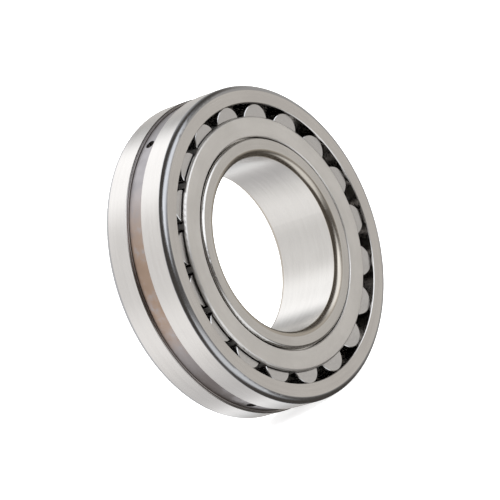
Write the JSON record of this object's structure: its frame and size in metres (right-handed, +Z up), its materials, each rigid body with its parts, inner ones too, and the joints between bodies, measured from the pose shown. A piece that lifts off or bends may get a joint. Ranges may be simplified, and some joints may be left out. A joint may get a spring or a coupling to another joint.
{
  "type": "spherical roller bearing",
  "caption": "Double-row spherical roller bearing with a cylindrical bore, self-aligning inner ring, two steel cages and a lubrication groove with oil holes round the outside.",
  "frame": {"origin": "centre of the bearing, on its axis, midway between the side faces", "axes": "+Y along the bearing's axis from the front face to the rear face, +Z up, +X to the right seen from the front"},
  "size_m": [0.1, 0.025, 0.1],
  "materials": {
    "ring_steel": "ground bearing steel, satin",
    "race_steel": "ground bearing steel, satin",
    "roller_steel": "ground and polished bearing steel",
    "cage_steel": "pressed sheet steel, fine matt satin",
    "guide_steel": "turned steel"
  },
  "bodies": {
    "outer_ring": {"outer_ring": "ring_steel"},
    "guide_ring": {"guide_ring": "guide_steel"},
    "inner_ring": {"inner_ring": "race_steel"},
    "cage_front": {"cage_front": "cage_steel"},
    "cage_rear": {"cage_rear": "cage_steel"},
    "roller_front_01": {"roller_front_01": "roller_steel"},
    "roller_front_02": {"roller_front_02": "roller_steel"},
    "roller_front_03": {"roller_front_03": "roller_steel"},
    "roller_front_04": {"roller_front_04": "roller_steel"},
    "roller_front_05": {"roller_front_05": "roller_steel"},
    "roller_front_06": {"roller_front_06": "roller_steel"},
    "roller_front_07": {"roller_front_07": "roller_steel"},
    "roller_front_08": {"roller_front_08": "roller_steel"},
    "roller_front_09": {"roller_front_09": "roller_steel"},
    "roller_front_10": {"roller_front_10": "roller_steel"},
    "roller_front_11": {"roller_front_11": "roller_steel"},
    "roller_front_12": {"roller_front_12": "roller_steel"},
    "roller_front_13": {"roller_front_13": "roller_steel"},
    "roller_front_14": {"roller_front_14": "roller_steel"},
    "roller_front_15": {"roller_front_15": "roller_steel"},
    "roller_front_16": {"roller_front_16": "roller_steel"},
    "roller_front_17": {"roller_front_17": "roller_steel"},
    "roller_front_18": {"roller_front_18": "roller_steel"},
    "roller_front_19": {"roller_front_19": "roller_steel"},
    "roller_rear_01": {"roller_rear_01": "roller_steel"},
    "roller_rear_02": {"roller_rear_02": "roller_steel"},
    "roller_rear_03": {"roller_rear_03": "roller_steel"},
    "roller_rear_04": {"roller_rear_04": "roller_steel"},
    "roller_rear_05": {"roller_rear_05": "roller_steel"},
    "roller_rear_06": {"roller_rear_06": "roller_steel"},
    "roller_rear_07": {"roller_rear_07": "roller_steel"},
    "roller_rear_08": {"roller_rear_08": "roller_steel"},
    "roller_rear_09": {"roller_rear_09": "roller_steel"},
    "roller_rear_10": {"roller_rear_10": "roller_steel"},
    "roller_rear_11": {"roller_rear_11": "roller_steel"},
    "roller_rear_12": {"roller_rear_12": "roller_steel"},
    "roller_rear_13": {"roller_rear_13": "roller_steel"},
    "roller_rear_14": {"roller_rear_14": "roller_steel"},
    "roller_rear_15": {"roller_rear_15": "roller_steel"},
    "roller_rear_16": {"roller_rear_16": "roller_steel"},
    "roller_rear_17": {"roller_rear_17": "roller_steel"},
    "roller_rear_18": {"roller_rear_18": "roller_steel"},
    "roller_rear_19": {"roller_rear_19": "roller_steel"}
  },
  "joints": [
    {"name": "self_align", "type": "hinge", "parent": "outer_ring", "child": "guide_ring", "pos_m": [0, 0, 0], "axis": [1, 0, 0], "range_deg": [-2, 2]},
    {"name": "inner_ring_spin", "type": "hinge", "parent": "guide_ring", "child": "inner_ring", "pos_m": [0, 0, 0], "axis": [0, 1, 0], "continuous": true},
    {"name": "cage_front_spin", "type": "hinge", "parent": "guide_ring", "child": "cage_front", "pos_m": [0, 0, 0], "axis": [0, 1, 0], "continuous": true},
    {"name": "cage_rear_spin", "type": "hinge", "parent": "guide_ring", "child": "cage_rear", "pos_m": [0, 0, 0], "axis": [0, 1, 0], "continuous": true},
    {"name": "roller_front_01_spin", "type": "hinge", "parent": "cage_front", "child": "roller_front_01", "pos_m": [0.03936, -0.00628, 0.00574], "axis": [0.1542, 0.9878, 0.0225], "continuous": true},
    {"name": "roller_front_02_spin", "type": "hinge", "parent": "cage_front", "child": "roller_front_02", "pos_m": [0.03537, -0.00628, 0.01821], "axis": [0.1385, 0.9878, 0.0713], "continuous": true},
    {"name": "roller_front_03_spin", "type": "hinge", "parent": "cage_front", "child": "roller_front_03", "pos_m": [0.02754, -0.00628, 0.02871], "axis": [0.1079, 0.9878, 0.1125], "continuous": true},
    {"name": "roller_front_04_spin", "type": "hinge", "parent": "cage_front", "child": "roller_front_04", "pos_m": [0.01672, -0.00628, 0.0361], "axis": [0.0655, 0.9878, 0.1414], "continuous": true},
    {"name": "roller_front_05_spin", "type": "hinge", "parent": "cage_front", "child": "roller_front_05", "pos_m": [0.0041, -0.00628, 0.03957], "axis": [0.016, 0.9878, 0.155], "continuous": true},
    {"name": "roller_front_06_spin", "type": "hinge", "parent": "cage_front", "child": "roller_front_06", "pos_m": [-0.00897, -0.00628, 0.03876], "axis": [-0.0351, 0.9878, 0.1518], "continuous": true},
    {"name": "roller_front_07_spin", "type": "hinge", "parent": "cage_front", "child": "roller_front_07", "pos_m": [-0.02107, -0.00628, 0.03374], "axis": [-0.0825, 0.9878, 0.1322], "continuous": true},
    {"name": "roller_front_08_spin", "type": "hinge", "parent": "cage_front", "child": "roller_front_08", "pos_m": [-0.03089, -0.00628, 0.02507], "axis": [-0.121, 0.9878, 0.0982], "continuous": true},
    {"name": "roller_front_09_spin", "type": "hinge", "parent": "cage_front", "child": "roller_front_09", "pos_m": [-0.03735, -0.00628, 0.01368], "axis": [-0.1463, 0.9878, 0.0536], "continuous": true},
    {"name": "roller_front_10_spin", "type": "hinge", "parent": "cage_front", "child": "roller_front_10", "pos_m": [-0.03977, -0.00628, 0.00081], "axis": [-0.1558, 0.9878, 0.0032], "continuous": true},
    {"name": "roller_front_11_spin", "type": "hinge", "parent": "cage_front", "child": "roller_front_11", "pos_m": [-0.03788, -0.00628, -0.01214], "axis": [-0.1484, 0.9878, -0.0476], "continuous": true},
    {"name": "roller_front_12_spin", "type": "hinge", "parent": "cage_front", "child": "roller_front_12", "pos_m": [-0.03189, -0.00628, -0.02379], "axis": [-0.1249, 0.9878, -0.0932], "continuous": true},
    {"name": "roller_front_13_spin", "type": "hinge", "parent": "cage_front", "child": "roller_front_13", "pos_m": [-0.02244, -0.00628, -0.03285], "axis": [-0.0879, 0.9878, -0.1287], "continuous": true},
    {"name": "roller_front_14_spin", "type": "hinge", "parent": "cage_front", "child": "roller_front_14", "pos_m": [-0.01055, -0.00628, -0.03836], "axis": [-0.0413, 0.9878, -0.1502], "continuous": true},
    {"name": "roller_front_15_spin", "type": "hinge", "parent": "cage_front", "child": "roller_front_15", "pos_m": [0.00247, -0.00628, -0.0397], "axis": [0.0097, 0.9878, -0.1555], "continuous": true},
    {"name": "roller_front_16_spin", "type": "hinge", "parent": "cage_front", "child": "roller_front_16", "pos_m": [0.01523, -0.00628, -0.03675], "axis": [0.0597, 0.9878, -0.1439], "continuous": true},
    {"name": "roller_front_17_spin", "type": "hinge", "parent": "cage_front", "child": "roller_front_17", "pos_m": [0.02634, -0.00628, -0.02981], "axis": [0.1032, 0.9878, -0.1168], "continuous": true},
    {"name": "roller_front_18_spin", "type": "hinge", "parent": "cage_front", "child": "roller_front_18", "pos_m": [0.03459, -0.00628, -0.01965], "axis": [0.1355, 0.9878, -0.0769], "continuous": true},
    {"name": "roller_front_19_spin", "type": "hinge", "parent": "cage_front", "child": "roller_front_19", "pos_m": [0.0391, -0.00628, -0.00735], "axis": [0.1531, 0.9878, -0.0288], "continuous": true},
    {"name": "roller_rear_01_spin", "type": "hinge", "parent": "cage_rear", "child": "roller_rear_01", "pos_m": [0.03788, 0.00628, 0.01214], "axis": [-0.1484, 0.9878, -0.0476], "continuous": true},
    {"name": "roller_rear_02_spin", "type": "hinge", "parent": "cage_rear", "child": "roller_rear_02", "pos_m": [0.03189, 0.00628, 0.02379], "axis": [-0.1249, 0.9878, -0.0932], "continuous": true},
    {"name": "roller_rear_03_spin", "type": "hinge", "parent": "cage_rear", "child": "roller_rear_03", "pos_m": [0.02244, 0.00628, 0.03285], "axis": [-0.0879, 0.9878, -0.1287], "continuous": true},
    {"name": "roller_rear_04_spin", "type": "hinge", "parent": "cage_rear", "child": "roller_rear_04", "pos_m": [0.01055, 0.00628, 0.03836], "axis": [-0.0413, 0.9878, -0.1502], "continuous": true},
    {"name": "roller_rear_05_spin", "type": "hinge", "parent": "cage_rear", "child": "roller_rear_05", "pos_m": [-0.00247, 0.00628, 0.0397], "axis": [0.0097, 0.9878, -0.1555], "continuous": true},
    {"name": "roller_rear_06_spin", "type": "hinge", "parent": "cage_rear", "child": "roller_rear_06", "pos_m": [-0.01523, 0.00628, 0.03675], "axis": [0.0597, 0.9878, -0.1439], "continuous": true},
    {"name": "roller_rear_07_spin", "type": "hinge", "parent": "cage_rear", "child": "roller_rear_07", "pos_m": [-0.02634, 0.00628, 0.02981], "axis": [0.1032, 0.9878, -0.1168], "continuous": true},
    {"name": "roller_rear_08_spin", "type": "hinge", "parent": "cage_rear", "child": "roller_rear_08", "pos_m": [-0.03459, 0.00628, 0.01965], "axis": [0.1355, 0.9878, -0.077], "continuous": true},
    {"name": "roller_rear_09_spin", "type": "hinge", "parent": "cage_rear", "child": "roller_rear_09", "pos_m": [-0.0391, 0.00628, 0.00735], "axis": [0.1531, 0.9878, -0.0288], "continuous": true},
    {"name": "roller_rear_10_spin", "type": "hinge", "parent": "cage_rear", "child": "roller_rear_10", "pos_m": [-0.03936, 0.00628, -0.00574], "axis": [0.1542, 0.9878, 0.0225], "continuous": true},
    {"name": "roller_rear_11_spin", "type": "hinge", "parent": "cage_rear", "child": "roller_rear_11", "pos_m": [-0.03537, 0.00628, -0.01821], "axis": [0.1385, 0.9878, 0.0713], "continuous": true},
    {"name": "roller_rear_12_spin", "type": "hinge", "parent": "cage_rear", "child": "roller_rear_12", "pos_m": [-0.02754, 0.00628, -0.02871], "axis": [0.1079, 0.9878, 0.1125], "continuous": true},
    {"name": "roller_rear_13_spin", "type": "hinge", "parent": "cage_rear", "child": "roller_rear_13", "pos_m": [-0.01672, 0.00628, -0.0361], "axis": [0.0655, 0.9878, 0.1414], "continuous": true},
    {"name": "roller_rear_14_spin", "type": "hinge", "parent": "cage_rear", "child": "roller_rear_14", "pos_m": [-0.0041, 0.00628, -0.03957], "axis": [0.016, 0.9878, 0.155], "continuous": true},
    {"name": "roller_rear_15_spin", "type": "hinge", "parent": "cage_rear", "child": "roller_rear_15", "pos_m": [0.00897, 0.00628, -0.03876], "axis": [-0.0351, 0.9878, 0.1518], "continuous": true},
    {"name": "roller_rear_16_spin", "type": "hinge", "parent": "cage_rear", "child": "roller_rear_16", "pos_m": [0.02107, 0.00628, -0.03374], "axis": [-0.0825, 0.9878, 0.1322], "continuous": true},
    {"name": "roller_rear_17_spin", "type": "hinge", "parent": "cage_rear", "child": "roller_rear_17", "pos_m": [0.03089, 0.00628, -0.02507], "axis": [-0.121, 0.9878, 0.0982], "continuous": true},
    {"name": "roller_rear_18_spin", "type": "hinge", "parent": "cage_rear", "child": "roller_rear_18", "pos_m": [0.03735, 0.00628, -0.01368], "axis": [-0.1463, 0.9878, 0.0536], "continuous": true},
    {"name": "roller_rear_19_spin", "type": "hinge", "parent": "cage_rear", "child": "roller_rear_19", "pos_m": [0.03977, 0.00628, -0.00081], "axis": [-0.1558, 0.9878, 0.0032], "continuous": true}
  ],
  "couplings": [
    {"joint": "cage_front_spin", "follows": "inner_ring_spin", "ratio": 0.43299},
    {"joint": "cage_rear_spin", "follows": "inner_ring_spin", "ratio": 0.43299},
    {"joint": "roller_front_01_spin", "follows": "inner_ring_spin", "ratio": -3.6188},
    {"joint": "roller_front_02_spin", "follows": "inner_ring_spin", "ratio": -3.6188},
    {"joint": "roller_front_03_spin", "follows": "inner_ring_spin", "ratio": -3.6188},
    {"joint": "roller_front_04_spin", "follows": "inner_ring_spin", "ratio": -3.6188},
    {"joint": "roller_front_05_spin", "follows": "inner_ring_spin", "ratio": -3.6188},
    {"joint": "roller_front_06_spin", "follows": "inner_ring_spin", "ratio": -3.6188},
    {"joint": "roller_front_07_spin", "follows": "inner_ring_spin", "ratio": -3.6188},
    {"joint": "roller_front_08_spin", "follows": "inner_ring_spin", "ratio": -3.6188},
    {"joint": "roller_front_09_spin", "follows": "inner_ring_spin", "ratio": -3.6188},
    {"joint": "roller_front_10_spin", "follows": "inner_ring_spin", "ratio": -3.6188},
    {"joint": "roller_front_11_spin", "follows": "inner_ring_spin", "ratio": -3.6188},
    {"joint": "roller_front_12_spin", "follows": "inner_ring_spin", "ratio": -3.6188},
    {"joint": "roller_front_13_spin", "follows": "inner_ring_spin", "ratio": -3.6188},
    {"joint": "roller_front_14_spin", "follows": "inner_ring_spin", "ratio": -3.6188},
    {"joint": "roller_front_15_spin", "follows": "inner_ring_spin", "ratio": -3.6188},
    {"joint": "roller_front_16_spin", "follows": "inner_ring_spin", "ratio": -3.6188},
    {"joint": "roller_front_17_spin", "follows": "inner_ring_spin", "ratio": -3.6188},
    {"joint": "roller_front_18_spin", "follows": "inner_ring_spin", "ratio": -3.6188},
    {"joint": "roller_front_19_spin", "follows": "inner_ring_spin", "ratio": -3.6188},
    {"joint": "roller_rear_01_spin", "follows": "inner_ring_spin", "ratio": -3.6188},
    {"joint": "roller_rear_02_spin", "follows": "inner_ring_spin", "ratio": -3.6188},
    {"joint": "roller_rear_03_spin", "follows": "inner_ring_spin", "ratio": -3.6188},
    {"joint": "roller_rear_04_spin", "follows": "inner_ring_spin", "ratio": -3.6188},
    {"joint": "roller_rear_05_spin", "follows": "inner_ring_spin", "ratio": -3.6188},
    {"joint": "roller_rear_06_spin", "follows": "inner_ring_spin", "ratio": -3.6188},
    {"joint": "roller_rear_07_spin", "follows": "inner_ring_spin", "ratio": -3.6188},
    {"joint": "roller_rear_08_spin", "follows": "inner_ring_spin", "ratio": -3.6188},
    {"joint": "roller_rear_09_spin", "follows": "inner_ring_spin", "ratio": -3.6188},
    {"joint": "roller_rear_10_spin", "follows": "inner_ring_spin", "ratio": -3.6188},
    {"joint": "roller_rear_11_spin", "follows": "inner_ring_spin", "ratio": -3.6188},
    {"joint": "roller_rear_12_spin", "follows": "inner_ring_spin", "ratio": -3.6188},
    {"joint": "roller_rear_13_spin", "follows": "inner_ring_spin", "ratio": -3.6188},
    {"joint": "roller_rear_14_spin", "follows": "inner_ring_spin", "ratio": -3.6188},
    {"joint": "roller_rear_15_spin", "follows": "inner_ring_spin", "ratio": -3.6188},
    {"joint": "roller_rear_16_spin", "follows": "inner_ring_spin", "ratio": -3.6188},
    {"joint": "roller_rear_17_spin", "follows": "inner_ring_spin", "ratio": -3.6188},
    {"joint": "roller_rear_18_spin", "follows": "inner_ring_spin", "ratio": -3.6188},
    {"joint": "roller_rear_19_spin", "follows": "inner_ring_spin", "ratio": -3.6188}
  ]
}
